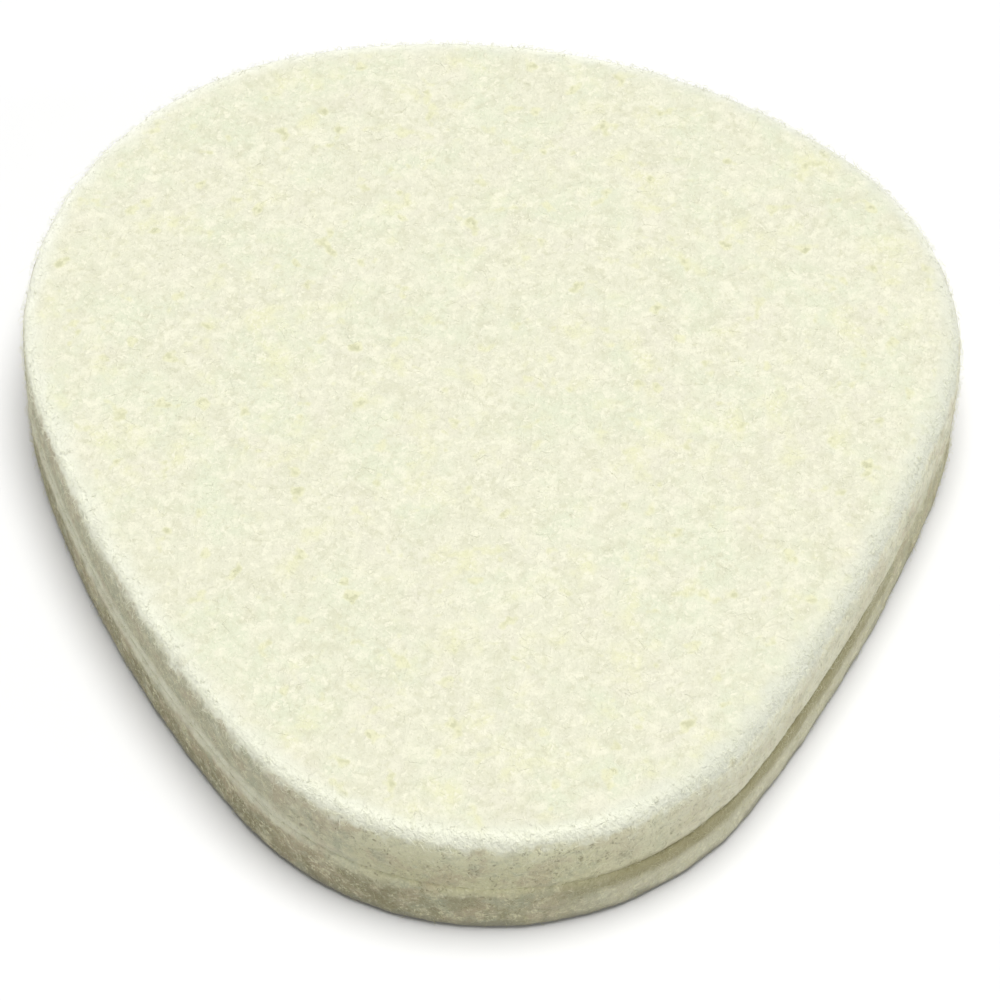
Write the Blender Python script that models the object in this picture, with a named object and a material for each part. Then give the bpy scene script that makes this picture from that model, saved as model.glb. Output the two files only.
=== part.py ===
"""A metatarsal pad: two plies of pressed wool felt, bonded face to face and cut to one outline.

Units are metres and +Z is up. The pad lies flat on its underside at z = 0, with the wide end
that sits toward the toes at +Y and the narrow end that sits toward the heel at -Y. The middle
of the pad's box is on the Z axis.
"""

from collections import namedtuple
from math import atan2, ceil, cos, pi, sin, sqrt

import bmesh
import bpy
from mathutils import Vector

# Outline of the cut, the same for both plies
PLY_WIDTH = 0.0602
PLY_LENGTH = 0.0628
TOE_CROWN_OFFSET = -0.0034
HEEL_OFFSET = 0.0002
RIGHT_CORNER_RADIUS = 0.0187
LEFT_CORNER_RADIUS = 0.0225
HEEL_RADIUS = 0.0197
TOE_SIDE_RADIUS = 0.0412
LEFT_SIDE_RADIUS = 0.0803
RIGHT_SIDE_RADIUS = 0.1072

# Thickness of the felt and the seam between the plies
UPPER_THICKNESS = 0.0055
LOWER_THICKNESS = 0.0040
SEAM_GAP = 0.0003

# How far the lower ply sits out of line with the upper one, toward the left and the heel
LOWER_SLIP_LEFT = 0.0001
LOWER_SLIP_HEELWARD = 0.0002

# Edges of the plies: the rounded shoulder and the parted seam where each is widest, and the base
SHOULDER_WIDTH = 0.0017
SHOULDER_DROP = 0.0024
SEAM_EDGE_ROUND = 0.0007
BASE_EDGE_ROUND = 0.0003

# Facets
FACET_LENGTH = 0.0016
SHOULDER_STEPS = 6
SEAM_STEPS = 3
BASE_STEPS = 2

# The edges at the middle of each stretch of the outline, as shares of the shoulder's width and drop
# and of the seam edge's round
Wear = namedtuple("Wear", "stretch width drop seam")
WEAR = (
    Wear("right corner", 0.80, 0.85, 0.70),
    Wear("toe side", 0.70, 0.60, 0.50),
    Wear("left corner", 0.50, 0.65, 0.30),
    Wear("left side", 0.40, 0.75, 0.30),
    Wear("heel", 0.50, 0.90, 0.35),
    Wear("right side", 1.00, 1.00, 1.00),
)

Arc = namedtuple("Arc", "centre radius start sweep")
RimPoint = namedtuple("RimPoint", "place outward wear")
Edge = namedtuple("Edge", "width height steps")

UPPER_COLOUR = (0.84, 0.84, 0.69, 1.0)
LOWER_COLOUR = (0.78, 0.77, 0.64, 1.0)
FELT_ROUGHNESS = 0.95


def side_centre(start, start_radius, end, end_radius, radius):
    """Centre of the wide arc that touches two corner circles from outside and runs between them."""
    between = end - start
    distance = between.length
    reach_start = radius - start_radius
    reach_end = radius - end_radius
    along = (reach_start ** 2 - reach_end ** 2 + distance ** 2) / (2 * distance)
    inward = sqrt(reach_start ** 2 - along ** 2)
    direction = between / distance
    return start + direction * along + Vector((-direction.y, direction.x)) * inward


def corner_circles():
    """Right corner, left corner and heel circles, anticlockwise, that fill the ply's width and length."""
    half_width = PLY_WIDTH / 2
    half_length = PLY_LENGTH / 2
    toe_centre_y = half_length - TOE_SIDE_RADIUS
    corners = []
    for side, radius in ((1, RIGHT_CORNER_RADIUS), (-1, LEFT_CORNER_RADIUS)):
        x = side * (half_width - radius)
        reach = TOE_SIDE_RADIUS - radius
        y = toe_centre_y + sqrt(reach ** 2 - (x - TOE_CROWN_OFFSET) ** 2)
        corners.append((Vector((x, y)), radius))
    corners.append((Vector((HEEL_OFFSET, HEEL_RADIUS - half_length)), HEEL_RADIUS))
    return corners


def outline_arcs():
    """The six tangent arcs of the outline, anticlockwise from the right corner, in the order of WEAR."""
    corners = corner_circles()
    side_radii = (TOE_SIDE_RADIUS, LEFT_SIDE_RADIUS, RIGHT_SIDE_RADIUS)
    centres = []
    for index, radius in enumerate(side_radii):
        start, start_radius = corners[index]
        end, end_radius = corners[(index + 1) % 3]
        centres.append(side_centre(start, start_radius, end, end_radius, radius))

    arcs = []
    for index in range(3):
        corner, corner_radius = corners[index]
        following, _ = corners[(index + 1) % 3]
        from_side = corner - centres[index - 1]
        to_side = corner - centres[index]
        side_end = following - centres[index]
        first = atan2(from_side.y, from_side.x)
        second = atan2(to_side.y, to_side.x)
        third = atan2(side_end.y, side_end.x)
        arcs.append(Arc(corner, corner_radius, first, (second - first) % (2 * pi)))
        arcs.append(Arc(centres[index], side_radii[index], second, (third - second) % (2 * pi)))
    return arcs


def wear_between(here, there, share):
    """The edges part of the way from the middle of one stretch to the middle of the next, eased."""
    eased = (1 - cos(pi * share)) / 2
    between = [near + (far - near) * eased for near, far in zip(here[1:], there[1:])]
    return Wear(there.stretch, *between)


def rim_points():
    """Points round the outline, each with its outward direction and its edges."""
    points = []
    arcs = outline_arcs()
    for index, arc in enumerate(arcs):
        steps = ceil(arc.radius * arc.sweep / FACET_LENGTH)
        for step in range(steps):
            share = step / steps
            angle = arc.start + arc.sweep * share
            outward = Vector((cos(angle), sin(angle)))
            if share < 0.5:
                here, there, way = WEAR[index - 1], WEAR[index], share + 0.5
            else:
                here, there, way = WEAR[index], WEAR[(index + 1) % 6], share - 0.5
            place = arc.centre + outward * arc.radius
            points.append(RimPoint(place, outward, wear_between(here, there, way)))
    return points


def rounded(edge):
    """Set-in and height of each ring up a rounded edge, from the flat face to the upright wall."""
    rings = []
    for step in range(edge.steps + 1):
        angle = pi / 2 * step / edge.steps
        rings.append((edge.width * (1 - sin(angle)), edge.height * (1 - cos(angle))))
    return rings


def ply(name, base, thickness, shift, top_edge, bottom_edge, colour):
    """One ply of felt, lofted from its underside to its top through rings set in from the outline."""
    mesh = bmesh.new()
    rings = []
    for point in rim_points():
        lower = rounded(bottom_edge(point))
        upper = [(set_in, thickness - drop) for set_in, drop in reversed(rounded(top_edge(point)))]
        column = []
        for set_in, height in lower + upper:
            x, y = point.place + shift - point.outward * set_in
            column.append(mesh.verts.new((x, y, base + height)))
        rings.append(column)

    mesh.faces.new([column[0] for column in reversed(rings)])
    mesh.faces.new([column[-1] for column in rings])
    for index, column in enumerate(rings):
        following = rings[(index + 1) % len(rings)]
        for level in range(len(column) - 1):
            mesh.faces.new((column[level], following[level], following[level + 1], column[level + 1]))

    data = bpy.data.meshes.new(name)
    mesh.to_mesh(data)
    mesh.free()
    data.shade_smooth()
    data.materials.append(felt(name, colour))
    return bpy.data.objects.new(name, data)


def felt(name, colour):
    """Matt wool felt in one colour."""
    material = bpy.data.materials.new(name)
    material.use_nodes = True
    shader = material.node_tree.nodes["Principled BSDF"]
    shader.inputs["Base Color"].default_value = colour
    shader.inputs["Roughness"].default_value = FELT_ROUGHNESS
    shader.inputs["Metallic"].default_value = 0.0
    return material


def shoulder_edge(point):
    return Edge(SHOULDER_WIDTH * point.wear.width, SHOULDER_DROP * point.wear.drop, SHOULDER_STEPS)


def seam_edge(point):
    return Edge(SEAM_EDGE_ROUND * point.wear.seam, SEAM_EDGE_ROUND * point.wear.seam, SEAM_STEPS)


def base_edge(point):
    return Edge(BASE_EDGE_ROUND, BASE_EDGE_ROUND, BASE_STEPS)


def build():
    for old in list(bpy.data.objects):
        bpy.data.objects.remove(old, do_unlink=True)
    collection = bpy.data.collections.new("metatarsal_pad")
    bpy.context.scene.collection.children.link(collection)

    half_slip = Vector((LOWER_SLIP_LEFT, LOWER_SLIP_HEELWARD)) / 2
    upper_base = LOWER_THICKNESS + SEAM_GAP
    collection.objects.link(
        ply("lower_felt", 0.0, LOWER_THICKNESS, -half_slip, seam_edge, base_edge, LOWER_COLOUR))
    collection.objects.link(
        ply("upper_felt", upper_base, UPPER_THICKNESS, half_slip, shoulder_edge, seam_edge, UPPER_COLOUR))


build()
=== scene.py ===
# %% [markdown]
# # A felt metatarsal pad
# The real pad is a flat cushion for the ball of the foot, cut from two plies of pressed wool felt.
# Felt has no weave: loose wool is matted until it holds together, so its face is a soft mottle of
# tangled fibres, its cut edge is rougher and darker, and a little fuzz stands off every edge.
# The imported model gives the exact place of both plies. This script dresses them.

import math
from collections import namedtuple
from types import SimpleNamespace

import bmesh
import bpy
from mathutils import Matrix, Vector, noise
from mathutils.bvhtree import BVHTree


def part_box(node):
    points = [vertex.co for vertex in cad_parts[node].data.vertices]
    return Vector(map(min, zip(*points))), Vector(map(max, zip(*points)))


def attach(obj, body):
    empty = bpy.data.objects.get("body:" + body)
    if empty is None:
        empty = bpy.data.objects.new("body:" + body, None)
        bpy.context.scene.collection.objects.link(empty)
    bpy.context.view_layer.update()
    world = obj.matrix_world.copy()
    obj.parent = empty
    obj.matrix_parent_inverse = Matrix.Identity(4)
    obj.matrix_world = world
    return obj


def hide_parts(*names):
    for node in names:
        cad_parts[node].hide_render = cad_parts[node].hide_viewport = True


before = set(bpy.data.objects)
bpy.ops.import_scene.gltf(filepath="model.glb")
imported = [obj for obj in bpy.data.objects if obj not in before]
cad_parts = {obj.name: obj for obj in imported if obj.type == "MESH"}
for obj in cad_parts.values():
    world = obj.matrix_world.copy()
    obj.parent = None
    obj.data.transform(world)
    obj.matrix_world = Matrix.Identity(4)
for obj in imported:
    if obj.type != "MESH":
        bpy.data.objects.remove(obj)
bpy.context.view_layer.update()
MM = 0.001

# %% [markdown]
# ## The camera
# The photograph looks down on the pad from the heel end, from near enough that the far edge is a
# little smaller. A long lens at about four and a half pad lengths gives that mild perspective.
# The aim is a point just in front of the pad's middle, because the pad sits high in the picture.

# %% The camera
CAMERA_ELEVATION = math.radians(55)
CAMERA_DISTANCE = 280 * MM
LENS_MM = 158.9
AIM = Vector((0.59 * MM, -3.1 * MM, 4.9 * MM))

camera_data = bpy.data.cameras.new("camera")
camera_data.lens = LENS_MM
camera = bpy.data.objects.new("camera", camera_data)
toward_camera = Vector((0, -math.cos(CAMERA_ELEVATION), math.sin(CAMERA_ELEVATION)))
camera.location = AIM + toward_camera * CAMERA_DISTANCE
camera.rotation_euler = toward_camera.to_track_quat("Z", "Y").to_euler()
bpy.context.scene.collection.objects.link(camera)
bpy.context.scene.camera = camera
print("The camera stands at", camera.location)

# %% [markdown]
# ## Shader sums in plain Python
# A felt material is mostly arithmetic on noise patterns. This class wraps one output socket, so
# that an expression such as `1 - mask * 0.3` adds the Math nodes that work it out. Its `add` method
# makes every other kind of node from its type, its settings and what goes into its sockets.

# %% Sockets that can be added and multiplied
class Wire:
    """One output socket of a node tree."""

    def __init__(self, tree, socket=None):
        self.tree = tree
        self.socket = socket

    def add(self, kind, settings=None, inputs=None, output=0):
        node = self.tree.nodes.new(kind)
        for name, value in (settings or {}).items():
            setattr(node, name, value)
        for name, value in (inputs or {}).items():
            if isinstance(value, Wire):
                self.tree.links.new(value.socket, node.inputs[name])
            else:
                node.inputs[name].default_value = value
        return Wire(self.tree, node.outputs[output])

    def sum_of(self, operation, first, second):
        return self.add("ShaderNodeMath", {"operation": operation}, {0: first, 1: second})

    def __add__(self, other):
        return self.sum_of("ADD", self, other)

    def __sub__(self, other):
        return self.sum_of("SUBTRACT", self, other)

    def __rsub__(self, other):
        return self.sum_of("SUBTRACT", other, self)

    def __mul__(self, other):
        return self.sum_of("MULTIPLY", self, other)

    __radd__ = __add__
    __rmul__ = __mul__


def step(value, low, high):
    """A smooth step from 0 at low to 1 at high; it falls instead where low is the larger."""
    return value.add(
        "ShaderNodeMapRange",
        {"interpolation_type": "SMOOTHSTEP"},
        {"Value": value, "From Min": low, "From Max": high, "To Min": 0.0, "To Max": 1.0})


def mix(factor, first, second):
    """Blend two colours; the numbers are the colour sockets of the Mix node."""
    return factor.add(
        "ShaderNodeMix", {"data_type": "RGBA"}, {0: factor, 6: first, 7: second}, output=2)


def tone(red, green, blue):
    """A colour as a picture shows it, 0 to 255, turned into the linear values that a shader takes."""
    linear = []
    for level in (red, green, blue):
        share = level / 255
        linear.append(share / 12.92 if share <= 0.04045 else ((share + 0.055) / 1.055) ** 2.4)
    return (*linear, 1.0)


# %% [markdown]
# ## The studio
# In the photograph the shadow beside the pad is only 2 or 3 mm wide, and the pad's sides are half
# as bright as its top. That is light from one broad source almost overhead, leaning to the right
# and a little behind, with the white table lighting the sides from below. Two dim round panels, low
# on the right and on the left, even out the cut walls, and a weak fill from the surroundings keeps
# the shadow open. The surroundings look white to the camera alone.

# %% Floor, light and surroundings
FLOOR_SIZE = 3.0
FLOOR_WHITE = 0.79
FLOOR_ROUGHNESS = 0.9
FLOOR_SPECULAR = 0.1
LIGHT_DISTANCE = 2.0
LIGHT_DIAMETER = 1.15
LIGHT_POWER = 43.5
LIGHT_FROM = Vector((0.07, 0.03, 1.0)).normalized()
PANEL_DISTANCE = 1.5
PANEL_DIAMETER = 0.8
RIGHT_PANEL_POWER = 4.5
LEFT_PANEL_POWER = 2.8
RIGHT_PANEL_FROM = Vector((1.0, -0.35, 0.32)).normalized()
LEFT_PANEL_FROM = Vector((-1.0, -0.20, 0.35)).normalized()
FILL_STRENGTH = 0.20

floor_mesh = bmesh.new()
bmesh.ops.create_grid(floor_mesh, x_segments=1, y_segments=1, size=FLOOR_SIZE / 2)
floor_data = bpy.data.meshes.new("floor")
floor_mesh.to_mesh(floor_data)
floor_mesh.free()
floor = bpy.data.objects.new("floor", floor_data)
bpy.context.scene.collection.objects.link(floor)

floor_paint = bpy.data.materials.new("white_table")
floor_paint.use_nodes = True
floor_shader = floor_paint.node_tree.nodes["Principled BSDF"]
floor_shader.inputs["Base Color"].default_value = (FLOOR_WHITE, FLOOR_WHITE, FLOOR_WHITE, 1.0)
floor_shader.inputs["Roughness"].default_value = FLOOR_ROUGHNESS
floor_shader.inputs["Specular IOR Level"].default_value = FLOOR_SPECULAR
floor_data.materials.append(floor_paint)


def disk_light(name, toward, distance, diameter, power):
    """A round area light that stands off in one direction and faces the pad."""
    data = bpy.data.lights.new(name, "AREA")
    data.shape = "DISK"
    data.size = diameter
    data.energy = power
    light = bpy.data.objects.new(name, data)
    light.location = toward * distance
    light.rotation_euler = toward.to_track_quat("Z", "Y").to_euler()
    bpy.context.scene.collection.objects.link(light)


disk_light("softbox", LIGHT_FROM, LIGHT_DISTANCE, LIGHT_DIAMETER, LIGHT_POWER)
disk_light("right_panel", RIGHT_PANEL_FROM, PANEL_DISTANCE, PANEL_DIAMETER, RIGHT_PANEL_POWER)
disk_light("left_panel", LEFT_PANEL_FROM, PANEL_DISTANCE, PANEL_DIAMETER, LEFT_PANEL_POWER)

world = bpy.data.worlds.new("studio")
world.use_nodes = True
bpy.context.scene.world = world
world_out = Wire(world.node_tree)
camera_sees = world_out.add("ShaderNodeLightPath", output="Is Camera Ray")
background = world.node_tree.nodes["Background"]
background.inputs["Color"].default_value = (1.0, 1.0, 1.0, 1.0)
strength = FILL_STRENGTH + camera_sees * (1.0 - FILL_STRENGTH)
world.node_tree.links.new(strength.socket, background.inputs["Strength"])
bpy.context.scene.view_settings.view_transform = "Standard"
half_angle = math.degrees(math.atan(LIGHT_DIAMETER / 2 / LIGHT_DISTANCE))
print("The softbox spans this half angle, in degrees:", round(half_angle, 1))

# %% [markdown]
# ## A fine skin for each ply
# A ply could be given its surface by bump alone, but a bump leaves the outline perfectly clean and
# the real edge is lumpy. So each ply's mesh is copied, its loose triangles are merged, and a voxel
# remesh turns it into an even skin of small quads, fine enough to be moved point by point.
# Pressed felt is solid and keeps its cut shape, so no cloth simulation is needed here.

# %% Copy and remesh a ply
VOXEL = 0.27 * MM
SMOOTH_PASSES = 4


def fine_skin(node, name):
    """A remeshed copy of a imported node's mesh, as a new object at the origin."""
    merged = bmesh.new()
    merged.from_mesh(bpy.data.objects[node].data)
    bmesh.ops.remove_doubles(merged, verts=merged.verts, dist=0.001 * MM)
    rough = bpy.data.meshes.new(name + "_rough")
    merged.to_mesh(rough)
    merged.free()
    piece = bpy.data.objects.new(name, rough)
    bpy.context.scene.collection.objects.link(piece)
    remesh = piece.modifiers.new("remesh", "REMESH")
    remesh.mode = "VOXEL"
    remesh.voxel_size = VOXEL
    graph = bpy.context.evaluated_depsgraph_get()
    fine = bpy.data.meshes.new_from_object(piece.evaluated_get(graph))
    piece.modifiers.clear()
    piece.data = fine
    bpy.data.meshes.remove(rough)

    smoothed = bmesh.new()
    smoothed.from_mesh(fine)
    for _ in range(SMOOTH_PASSES):
        bmesh.ops.smooth_vert(
            smoothed, verts=smoothed.verts, factor=0.5,
            use_axis_x=True, use_axis_y=True, use_axis_z=True)
    smoothed.to_mesh(fine)
    smoothed.free()
    print(name, "has", len(fine.polygons), "faces")
    return piece


upper = fine_skin("upper_felt", "upper_ply")
lower = fine_skin("lower_felt", "lower_ply")

# %% [markdown]
# ## How far is each point from the cut?
# Toward its cut edge the felt's colour changes: the shoulder has painted highlight and painted
# shade, and the wall is painted darker as shade. A mask for that can't come from height alone, so
# each point stores its level distance from the ply's upright wall, in millimetres. The nearest wall
# point comes from a search tree of the wall's faces.

# %% Store the distance to the cut wall
WALL_TILT = 0.05


def store_cut_distance(piece, node):
    """Write the level distance from the node's wall to each point, as an attribute in millimetres."""
    wall = bmesh.new()
    wall.from_mesh(bpy.data.objects[node].data)
    sloping = [face for face in wall.faces if abs(face.normal.z) > WALL_TILT]
    bmesh.ops.delete(wall, geom=sloping, context="FACES")
    tree = BVHTree.FromBMesh(wall)
    wall.free()
    values = []
    for vertex in piece.data.vertices:
        nearest = tree.find_nearest(vertex.co)[0]
        values.append((nearest - vertex.co).xy.length / MM)
    cut_distance = piece.data.attributes.new("cut_distance", "FLOAT", "POINT")
    cut_distance.data.foreach_set("value", values)
    print(piece.name, "reaches", round(max(values), 1), "mm in from its cut")


store_cut_distance(upper, "upper_felt")
store_cut_distance(lower, "lower_felt")

# %% [markdown]
# ## The felt's relief
# The flat faces roll gently and carry small tufts and dimples about a millimetre across. The cut
# wall is rougher, with ledges that run level, because felt is matted in layers. Both are noise, so
# they are worked out for each point from its place and the same ply comes out the same each time.
# The faces that are bonded or that lie on the table stay flat. Round the left and the heel the
# bond has drawn the plies together, so there the walls meet in a low ridge and the groove between
# the solids is filled. Along the right side, toward the heel, the plies have parted a little at
# the edge, so there the groove stays.

# %% Move the skin's points
FACE_ROLL = 0.05 * MM
FACE_TUFT = 0.035 * MM
WALL_LUMP = 0.06 * MM
WALL_LAYER = 0.07 * MM
WALL_REACH_MM = 0.5
SEAM_CLOSING = 0.14 * MM
SEAM_OVERLAP = 0.60 * MM
SEAM_PARTED_CLOSING = 0.30 * MM
SEAM_FILLING = 0.14 * MM
SEAM_REACH = 0.8 * MM
PARTED_FROM_MM = 2.0
PARTED_TO_MM = 10.0
PARTED_UP_TO_MM = -3.0
PARTED_DOWN_TO_MM = -14.0
FLAT_NORMAL = 0.9
lower_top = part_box("lower_felt")[1][2]
upper_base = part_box("upper_felt")[0][2]
seam_height = (lower_top + upper_base) / 2
seam_mm = seam_height / MM


def felt_relief(place, here, distance):
    """How far the felt stands out at a place in millimetres, at some distance from the cut."""
    roll = noise.noise(place * 0.22 + here)
    tuft = noise.noise(place * 0.9 + here) + 0.6 * noise.noise(place * 2.1 + here)
    face = FACE_ROLL * roll + FACE_TUFT * tuft
    layered = Vector((place.x * 0.5, place.y * 0.5, place.z * 2.2))
    lump = noise.noise(place * 0.6 + here) + 0.5 * noise.noise(place * 1.7 + here)
    wall = WALL_LUMP * lump + WALL_LAYER * noise.noise(layered + here)
    share = min(distance / WALL_REACH_MM, 1.0)
    return face * share + wall * (1.0 - share)


def raise_relief(piece, seed, shown):
    """Push points out by the felt's relief and shape the seam; shown is 1 where the top shows."""
    here = Vector((seed, 2 * seed, 3 * seed))
    data = piece.data
    normals = [vertex.normal.copy() for vertex in data.vertices]
    distances = [item.value for item in data.attributes["cut_distance"].data]
    for vertex, normal, distance in zip(data.vertices, normals, distances):
        place = vertex.co / MM
        from_seam = abs(vertex.co.z - seam_height) - (upper_base - lower_top) / 2
        near_seam = max(0.0, 1.0 - from_seam / SEAM_REACH)
        heelward = (PARTED_UP_TO_MM - place.y) / (PARTED_UP_TO_MM - PARTED_DOWN_TO_MM)
        rightward = (place.x - PARTED_FROM_MM) / (PARTED_TO_MM - PARTED_FROM_MM)
        parted = min(max(rightward, 0.0), 1.0) * min(max(heelward, 0.0), 1.0)
        if abs(normal.z) < FLAT_NORMAL or (shown and normal.z > 0):
            push = felt_relief(place, here, distance)
            vertex.co += Vector((normal.x, normal.y, max(normal.z, 0.0) * shown)) * push
        closed = SEAM_CLOSING
        if distance < WALL_REACH_MM:
            swell = SEAM_FILLING * near_seam ** 2
            vertex.co += Vector((normal.x, normal.y, 0.0)) * swell
            closed += SEAM_OVERLAP
        closing = (closed * (1.0 - parted) + SEAM_PARTED_CLOSING * parted) * near_seam
        vertex.co.z += math.copysign(closing, seam_height - vertex.co.z)
    data.shade_smooth()
    heights = [vertex.co.z / MM for vertex in data.vertices]
    print(piece.name, "lies from", round(min(heights), 2), "to", round(max(heights), 2), "mm")


raise_relief(upper, 11.3, 1)
raise_relief(lower, 47.9, 0)

# %% [markdown]
# ## The felt's finish
# The top is cream, with soft patches that lean green, yellow or grey, and short curls where fibres
# lie together. All of it is noise on Object coordinates, in millimetres. The same curls also make
# the bump, so that a pale curl is a raised one.

# %% Patterns in the wool
CURL_SIZE_MM = (0.8, 0.3, 0.5)
CURL_TURNS = (20, 78, -41)


def wool_patterns(tree):
    """Place in millimetres, and the patterns that both colour and bump use."""
    start = Wire(tree)
    coordinates = start.add("ShaderNodeTexCoord", output="Object")
    place = start.add("ShaderNodeVectorMath", {"operation": "SCALE"}, {0: coordinates, "Scale": 1 / MM})

    def cloud(scale, detail=2.0, rough=0.5):
        return start.add(
            "ShaderNodeTexNoise", {},
            {"Vector": place, "Scale": scale, "Detail": detail, "Roughness": rough})

    def streak(turn):
        laid = start.add(
            "ShaderNodeMapping", {"vector_type": "TEXTURE"},
            {"Vector": place, "Rotation": (0.0, 0.0, math.radians(turn)), "Scale": CURL_SIZE_MM})
        return start.add(
            "ShaderNodeTexNoise", {},
            {"Vector": laid, "Scale": 1.0, "Detail": 2.0, "Roughness": 0.55, "Distortion": 1.3})

    first, second, third = [streak(turn) for turn in CURL_TURNS]
    return place, cloud, first + second + third


# %% [markdown]
# ## Where on the pad
# The felt looks different on the left, at the rear, at the front and where the plies have parted.
# Each of these is a soft mask with a value from 0 to 1. The patterns that lie over the whole pad are
# rows of a table, from broad patches to fine mottle, and a layer's high below its low turns it round.

# %% Masks by place
def felt_places(place, cloud):
    """Coordinates in millimetres and masks for the parts of the pad."""
    across = place.add("ShaderNodeSeparateXYZ", {}, {0: place}, output="X")
    along = place.add("ShaderNodeSeparateXYZ", {}, {0: place}, output="Y")
    height = place.add("ShaderNodeSeparateXYZ", {}, {0: place}, output="Z")
    cut = place.add("ShaderNodeAttribute", {"attribute_name": "cut_distance"}, output="Fac")
    left = step(across + cloud(0.12) * 12.0, 20.0, -14.0)
    rear = step(along, 4.0, 18.0)
    front = step(place.sum_of("ABSOLUTE", across, 0.0) + cloud(0.3) * 6.0, 18.0, 8.0)
    parted = step(across + cloud(0.4) * 4.0 - 2.0, PARTED_FROM_MM - 2.0, PARTED_TO_MM)
    parted = parted * step(along, PARTED_UP_TO_MM, PARTED_DOWN_TO_MM)
    return SimpleNamespace(
        height=height, cut=cut, left=left, rear=rear, front=front, parted=parted,
        flank=left * (1.0 - front), ragged=height + cloud(0.8) * 1.6 - 0.8)


# %% Layers of blotches
Layer = namedtuple("Layer", "scale detail rough low high strength tone")
FACE_LAYERS = (
    Layer(0.26, 2.0, 0.5, 0.42, 0.66, 0.8, "green"),
    Layer(0.33, 2.0, 0.5, 0.50, 0.70, 0.7, "warm"),
    Layer(0.37, 3.0, 0.6, 0.52, 0.72, 0.8, "yellow"),
    Layer(0.75, 3.0, 0.6, 0.55, 0.25, 0.7, "grey"),
    Layer(1.15, 3.0, 0.6, 0.45, 0.75, 0.9, "light"),
    Layer(1.60, 2.0, 0.5, 0.56, 0.76, 0.8, "grey"),
)
WALL_PATCHES = (
    Layer(0.45, 3.0, 0.6, 0.45, 0.62, 1.0, "brown"),
    Layer(0.62, 3.0, 0.6, 0.50, 0.66, 1.0, "grey"),
)
WALL_MOTTLE = (
    Layer(1.30, 3.0, 0.6, 0.50, 0.72, 0.6, "pale"),
    Layer(1.70, 3.0, 0.6, 0.52, 0.75, 0.7, "base"),
)


def blotched(colour, cloud, layers, tones, share=1.0):
    """Lay blotches over a colour, one layer after another."""
    for layer in layers:
        blotch = step(cloud(layer.scale, layer.detail, layer.rough), layer.low, layer.high)
        colour = mix(blotch * (layer.strength * share), colour, tones[layer.tone])
    return colour


# %% [markdown]
# ## The face and its rim
# Near the cut the face is painted paler, a painted highlight where the rounded edge catches light,
# most of all on the left and along the far edge, where it is a painted sheen. The right shoulder
# gets painted shade instead. A few yellowish blots have an olive heart.

# %% The face's colour
def face_colour(where, cloud, curls, tones):
    """Mottled cream with olive blots, with painted highlight and painted shade toward the cut."""
    face = blotched(tones["base"], cloud, FACE_LAYERS, tones)
    face = mix(step(curls, 1.54, 1.86) * 0.9, face, tones["light"])
    face = mix(step(curls, 1.38, 1.10) * 0.6, face, tones["grey"])
    blot = cloud(0.62, 2.0, 0.5)
    face = mix(step(blot, 0.60, 0.70) * 0.8, face, tones["yellow"])
    face = mix(step(blot, 0.63, 0.74) * step(cloud(1.9, 2.0), 0.42, 0.60), face, tones["olive"])

    # Painted shade along the right shoulder and painted highlight along the left, near the cut.
    rim = mix(where.left, tones["right_rim_shade"], tones["left_rim_highlight"])
    face = mix(step(where.cut + cloud(0.5, 3.0) * 1.8, 2.9, 1.3) * 0.85, face, rim)
    # Painted highlight along the front and left edges, and painted sheen along the far edge.
    face = mix(step(where.cut, 1.3, 0.5) * where.front * 0.7, face, tones["edge"])
    face = mix(step(where.cut + cloud(0.9, 3.0) * 0.8, 1.3, 0.6) * where.left, face, tones["edge"])
    far = step(where.cut + cloud(0.9, 3.0) * 1.2, 2.0, 0.4) * where.rear * 0.8
    return mix(far, face, tones["far_edge_sheen"])


# %% [markdown]
# ## The cut wall
# The wall is painted darker from its top to its base, as shade near the table, and the lower ply
# is painted darker still. The side walls take lighter, greyer tones than the front, partly painted
# light. On the flank a painted highlight runs along the seam's ridge between two bands of painted
# shade. Where the plies have parted, painted shade fills the olive crease instead, with a painted
# lit band below it. A band of painted shade follows the table.

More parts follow.
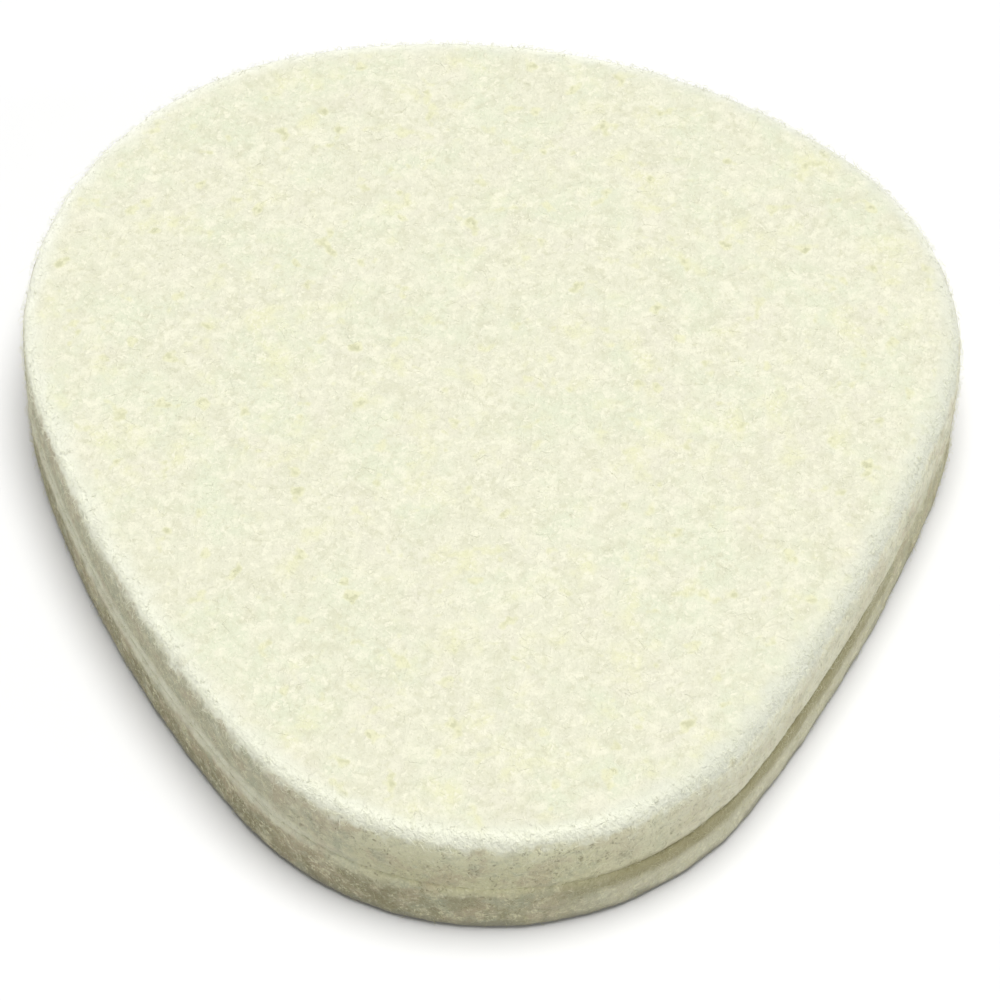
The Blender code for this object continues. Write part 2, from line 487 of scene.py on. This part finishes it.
# %% The wall's colour
def wall_colour(where, cloud, curls, tones):
    """Olive felt, with painted shade by its height on the wall and painted light by which side it faces.
    """
    # Painted shade: darker from the top of the wall toward its base; the side walls are painted lighter.
    fall = step(where.ragged, 9.4, 5.4)
    front_wall = mix(fall, tones["top"], tones["middle"])
    side_wall = mix(fall, tones["side_top"], tones["side_middle"])
    wall = mix(where.front, side_wall, front_wall)
    # Painted shade on the lower ply, with more of it on the left.
    wall = mix(step(where.ragged, seam_mm + 0.4, seam_mm - 0.8), wall, tones["base"])
    wall = mix(step(where.ragged, seam_mm - 0.2, seam_mm - 1.2) * where.left, wall, tones["dark"])
    # Painted shade in a band on the flank's upper wall.
    shaded = step(where.ragged, 5.0, 6.0) * step(where.ragged, 9.4, 8.2) * where.flank
    wall = mix(shaded * 0.8, wall, tones["base"])

    wall = blotched(wall, cloud, WALL_PATCHES, tones, 0.6 - where.parted * 0.3)
    wall = blotched(wall, cloud, WALL_MOTTLE, tones)
    wall = mix(step(curls, 1.54, 1.84) * 0.9, wall, tones["pale"])
    wall = mix(step(curls, 1.40, 1.08) * (0.4 + where.front * 0.4), wall, tones["dark"])
    # Painted highlight on the ridge along the seam, on the flank.
    ridge = step(where.height, seam_mm - 0.3, seam_mm + 0.3)
    ridge = ridge * step(where.height, seam_mm + 1.6, seam_mm + 0.8)
    wall = mix(ridge * where.flank * 0.6, wall, tones["side_top"])
    # Darker patches on the lower ply, below the seam.
    low_dark_patches = step(cloud(0.52, 3.0, 0.6), 0.48, 0.66) * step(where.ragged, seam_mm, seam_mm - 1.0)
    wall = mix(low_dark_patches * 0.6, wall, tones["dark"])

    # Where the plies have parted: painted light on the lower ply, and painted shade in the crease above
    # it.
    lit = step(where.ragged, seam_mm - 0.8, seam_mm - 1.8) * where.parted
    wall = mix(lit * 0.5, wall, tones["side_middle"])
    crease_shade = step(where.height, seam_mm - 2.0, seam_mm - 0.5)
    crease_shade = crease_shade * step(where.height, seam_mm + 0.7, seam_mm - 0.1)
    wall = mix(crease_shade * where.parted * 0.8, wall, tones["crease_shade"])
    # Painted shade along the table.
    return mix(step(where.ragged, 1.3, 0.3) * 0.9, wall, tones["contact_shade"])


# %% [markdown]
# ## The felt material
# The face's colour takes over a little way in from the cut, and only near the top of the pad. Wool is
# matt, with a faint sheen from its loose surface fibres.

# %% The felt material
BUMP_STRENGTH = 0.7
BUMP_DEPTH = 0.14 * MM
FELT_ROUGHNESS = 0.95
WOOL_SPECULAR = 0.2
FELT_SHEEN = 0.15
FELT_SHEEN_ROUGHNESS = 0.6


def felt_material(name, face_tones, wall_tones):
    """Matted wool, coloured by place: the face, the rim with painted highlight and shade, and the cut wall
    with painted shade by its height.
    """
    material = bpy.data.materials.new(name)
    material.use_nodes = True
    tree = material.node_tree
    shader = tree.nodes["Principled BSDF"]
    place, cloud, curls = wool_patterns(tree)
    where = felt_places(place, cloud)
    face = face_colour(where, cloud, curls, face_tones)
    wall = wall_colour(where, cloud, curls, wall_tones)
    on_face = step(where.cut + cloud(1.2, 3.0) * 0.5, 0.28, 0.52) * step(where.height, 6.8, 7.4)
    colour = mix(on_face, wall, face)
    tree.links.new(colour.socket, shader.inputs["Base Color"])

    height = curls * 0.8 + cloud(1.6, 5.0, 0.65) + cloud(5.5, 3.0, 0.6) * 0.5
    bump = place.add(
        "ShaderNodeBump", {}, {"Height": height, "Strength": BUMP_STRENGTH, "Distance": BUMP_DEPTH})
    tree.links.new(bump.socket, shader.inputs["Normal"])

    shader.inputs["Roughness"].default_value = FELT_ROUGHNESS
    shader.inputs["Specular IOR Level"].default_value = WOOL_SPECULAR
    shader.inputs["Sheen Weight"].default_value = FELT_SHEEN
    shader.inputs["Sheen Roughness"].default_value = FELT_SHEEN_ROUGHNESS
    print(name, "has", len(tree.nodes), "shader nodes")
    return material


# %% [markdown]
# ## The wool's tones
# Each tone is written as a picture would show it. The walls get less light than the face does, so
# their tones differ from the face's by less than the eye would expect.

# %% Tones, and felt on both plies
# The right rim tone is painted shade; the left rim, edge and far edge tones are painted highlight and
# sheen.
FACE_TONES = {
    "base": tone(218, 217, 195), "green": tone(214, 218, 193), "warm": tone(220, 217, 198),
    "yellow": tone(221, 220, 184), "grey": tone(206, 205, 179), "light": tone(230, 228, 206),
    "olive": tone(198, 198, 164), "right_rim_shade": tone(212, 214, 198), "left_rim_highlight": tone(226, 227, 210),
    "edge": tone(241, 242, 222), "far_edge_sheen": tone(252, 252, 242),
}
# The middle, base and dark tones and the crease and table tones serve painted shade; the side tones carry
# painted light and the ridge's painted highlight.
WALL_TONES = {
    "top": tone(228, 227, 193), "middle": tone(206, 203, 164), "base": tone(178, 175, 143),
    "side_top": tone(229, 229, 206), "side_middle": tone(224, 222, 197),
    "brown": tone(192, 178, 148), "grey": tone(181, 185, 158), "pale": tone(220, 217, 184),
    "dark": tone(146, 139, 106), "crease_shade": tone(152, 145, 103),
    "contact_shade": tone(145, 142, 120),
}

upper.data.materials.clear()
upper.data.materials.append(felt_material("cream_felt", FACE_TONES, WALL_TONES))
lower.data.materials.clear()
lower.data.materials.append(felt_material("cream_felt_lower", FACE_TONES, WALL_TONES))

# %% [markdown]
# ## Loose fibres
# Wool never lies quite flat. Short fibres curl over the face, a close fringe stands on the shoulder
# and a thinner fuzz stands off the cut walls, which softens the outline. A few curled tubes are
# modelled once. Geometry Nodes then strews copies over a skin, turned and scaled at random from a
# fixed seed, and joins them.

# %% Curled tubes
HAIR_RADIUS = 0.010 * MM
TUFT_RADIUS = 0.014 * MM
FIBRE_SIDES = 3
FIBRE_CUTS = 3
ROOT_DEPTH = 0.03 * MM


def fibre_shape(name, radius, length, lift, curl, turns, arch):
    """A thin tube along a curl; arch is 1 where its tip comes back down and 0.5 where it stands."""
    mesh = bmesh.new()
    lengthways = Matrix.Translation((length / 2, 0, 0)) @ Matrix.Rotation(math.pi / 2, 4, "Y")
    bmesh.ops.create_cone(
        mesh, cap_ends=True, segments=FIBRE_SIDES, radius1=radius, radius2=radius / 2,
        depth=length, matrix=lengthways)
    long_edges = [edge for edge in mesh.edges if edge.calc_length() > length / 2]
    bmesh.ops.subdivide_edges(mesh, edges=long_edges, cuts=FIBRE_CUTS)
    for vertex in mesh.verts:
        share = vertex.co.x / length
        vertex.co.y += curl * math.sin(turns * math.pi * share)
        vertex.co.z += lift * math.sin(math.pi * share * arch) - ROOT_DEPTH
    data = bpy.data.meshes.new(name)
    mesh.to_mesh(data)
    mesh.free()
    data.shade_smooth()
    return bpy.data.objects.new(name, data)


def fibre_family(name, radius, curls):
    """A collection of fibre shapes that is kept out of the scene; curls are in millimetres."""
    family = bpy.data.collections.new(name)
    for index, (length, lift, curl, turns, arch) in enumerate(curls):
        family.objects.link(
            fibre_shape(f"{name}_{index}", radius, length * MM, lift * MM, curl * MM, turns, arch))
    return family


lying = fibre_family("lying_fibre", HAIR_RADIUS, (
    (0.6, 0.04, 0.10, 1.0, 1.0), (0.9, 0.05, 0.16, 1.6, 1.0), (1.1, 0.04, -0.20, 2.1, 1.0),
    (0.4, 0.05, -0.14, 0.8, 1.0), (0.7, 0.05, 0.24, 1.3, 1.0), (1.3, 0.04, 0.22, 2.7, 1.0)))
standing = fibre_family("standing_fibre", HAIR_RADIUS, (
    (0.30, 0.16, 0.10, 1.0, 0.5), (0.22, 0.24, -0.08, 1.4, 0.6), (0.45, 0.18, 0.15, 1.2, 0.7),
    (0.60, 0.14, -0.18, 1.7, 1.0), (0.35, 0.30, 0.12, 0.9, 0.6)))
fringe = fibre_family("fringe_fibre", TUFT_RADIUS, (
    (0.30, 0.22, 0.08, 1.0, 0.5), (0.40, 0.28, -0.10, 1.3, 0.5), (0.55, 0.20, 0.16, 1.2, 0.7),
    (0.60, 0.16, -0.14, 1.7, 0.9), (0.25, 0.30, 0.06, 0.9, 0.5)))

# %% [markdown]
# ## Strewing
# Each kind of fibre grows in its own zone. A zone is a range of distance from the cut, of height and
# of how far the skin faces up, and outside it the density is nothing.

# %% Strew fibres over a skin
NO_LIMIT = 1000.0
EVERYWHERE = (-NO_LIMIT, NO_LIMIT)
SMALLEST_FIBRE = 0.6
LARGEST_FIBRE = 1.3
LEAN = 0.12


def strew(name, skin, family, per_square_mm, seed, cut_mm, height_mm, rise):
    """Fibres where the distance from the cut, the height and the normal's rise are all in range."""
    tree = bpy.data.node_groups.new(name, "GeometryNodeTree")
    tree.interface.new_socket("Geometry", in_out="INPUT", socket_type="NodeSocketGeometry")
    tree.interface.new_socket("Geometry", in_out="OUTPUT", socket_type="NodeSocketGeometry")
    start = Wire(tree)
    entry = start.add("NodeGroupInput")
    cut = start.add("GeometryNodeInputNamedAttribute", {"data_type": "FLOAT"}, {"Name": "cut_distance"})
    place = start.add("GeometryNodeInputPosition")
    height = start.add("ShaderNodeSeparateXYZ", {}, {0: place}, output="Z") * (1 / MM)
    normal = start.add("GeometryNodeInputNormal")
    facing_up = start.add("ShaderNodeSeparateXYZ", {}, {0: normal}, output="Z")
    wanted = per_square_mm / MM ** 2
    for value, (low, high) in ((cut, cut_mm), (height, height_mm), (facing_up, rise)):
        wanted = wanted * start.sum_of("GREATER_THAN", value, low)
        wanted = wanted * start.sum_of("LESS_THAN", value, high)
    spread = start.add(
        "GeometryNodeDistributePointsOnFaces", {},
        {"Mesh": entry, "Density": wanted, "Seed": seed})
    facing = Wire(tree, spread.socket.node.outputs["Rotation"])
    shapes = start.add(
        "GeometryNodeCollectionInfo", {},
        {"Collection": family, "Separate Children": True, "Reset Children": True})
    size = start.add(
        "FunctionNodeRandomValue", {"data_type": "FLOAT"},
        {2: SMALLEST_FIBRE, 3: LARGEST_FIBRE, "Seed": seed + 1}, output=1)
    placed = start.add(
        "GeometryNodeInstanceOnPoints", {},
        {"Points": spread, "Instance": shapes, "Pick Instance": True, "Rotation": facing, "Scale": size})
    turn = start.add(
        "FunctionNodeRandomValue", {"data_type": "FLOAT_VECTOR"},
        {0: (-LEAN, -LEAN, 0.0), 1: (LEAN, LEAN, 2 * math.pi), "Seed": seed + 2})
    turned = start.add("GeometryNodeRotateInstances", {}, {"Instances": placed, "Rotation": turn})
    joined = start.add("GeometryNodeRealizeInstances", {}, {"Geometry": turned})
    leave = tree.nodes.new("NodeGroupOutput")
    tree.links.new(joined.socket, leave.inputs[0])

    carrier = bpy.data.objects.new(name, skin.data)
    bpy.context.scene.collection.objects.link(carrier)
    carrier.modifiers.new("strew", "NODES").node_group = tree
    graph = bpy.context.evaluated_depsgraph_get()
    fibres = bpy.data.meshes.new_from_object(carrier.evaluated_get(graph))
    carrier.modifiers.clear()
    carrier.data = fibres
    print(name, "has", len(fibres.polygons), "faces")
    return carrier


# %% Zones for the nap, the fringe and the fuzz
NAP_PER_SQUARE_MM = 0.9
FRINGE_PER_SQUARE_MM = 10.0
FUZZ_PER_SQUARE_MM = 5.0
FACE_ZONE = (0.6, NO_LIMIT)
CUT_ZONE = (-1.0, 0.9)
FRINGE_FROM_MM = 8.6
FUZZ_FROM_MM = 0.8
FACING_UP = (0.8, NO_LIMIT)
ON_SHOULDER = (-0.2, NO_LIMIT)
ON_WALL = (-0.8, 0.8)

nap = strew("face_nap", upper, lying, NAP_PER_SQUARE_MM, 3, FACE_ZONE, EVERYWHERE, FACING_UP)
rim_fuzz = strew(
    "rim_fuzz", upper, fringe, FRINGE_PER_SQUARE_MM, 17, CUT_ZONE, (FRINGE_FROM_MM, NO_LIMIT), ON_SHOULDER)
wall_fuzz = strew(
    "wall_fuzz", upper, standing, FUZZ_PER_SQUARE_MM, 23, CUT_ZONE, (seam_mm, FRINGE_FROM_MM), ON_WALL)
lower_fuzz = strew(
    "lower_fuzz", lower, standing, FUZZ_PER_SQUARE_MM, 29, CUT_ZONE, (FUZZ_FROM_MM, seam_mm), ON_WALL)

# %% [markdown]
# ## The fibres' colour
# One material serves all the loose fibres. It follows the pad's tones by height: the off-white of the
# painted edge highlight on top, and duller down the walls, where the wall tones carry painted shade.

# %% The fibres' material
FIBRE_ROUGHNESS = 0.9


def fibre_material(name):
    """Pale wool on the face, with the walls' painted shade lower down, and a little different from fibre
    to fibre.
    """
    material = bpy.data.materials.new(name)
    material.use_nodes = True
    tree = material.node_tree
    shader = tree.nodes["Principled BSDF"]
    place, cloud, _ = wool_patterns(tree)
    height_mm = place.add("ShaderNodeSeparateXYZ", {}, {0: place}, output="Z")
    colour = mix(step(height_mm, 9.3, 8.0), FACE_TONES["edge"], WALL_TONES["side_top"])
    colour = mix(step(height_mm, 6.5, 3.5), colour, WALL_TONES["middle"])
    colour = mix(step(cloud(1.1), 0.50, 0.62) * 0.5, colour, FACE_TONES["light"])
    tree.links.new(colour.socket, shader.inputs["Base Color"])
    shader.inputs["Roughness"].default_value = FIBRE_ROUGHNESS
    shader.inputs["Specular IOR Level"].default_value = WOOL_SPECULAR
    print(name, "has", len(tree.nodes), "shader nodes")
    return material


loose_wool = fibre_material("loose_wool")
for fibres in (nap, rim_fuzz, wall_fuzz, lower_fuzz):
    fibres.data.materials.clear()
    fibres.data.materials.append(loose_wool)

# %% [markdown]
# ## The pieces on the body
# Each skin replaces its imported node, and every piece rides on the one body. All of them are the
# felt of their ply.

# %% Rides and replacements
for piece, node in ((upper, "upper_felt"), (lower, "lower_felt")):
    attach(piece, "root")
    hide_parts(node)

for piece in (nap, rim_fuzz, wall_fuzz):
    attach(piece, "root")
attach(lower_fuzz, "root")
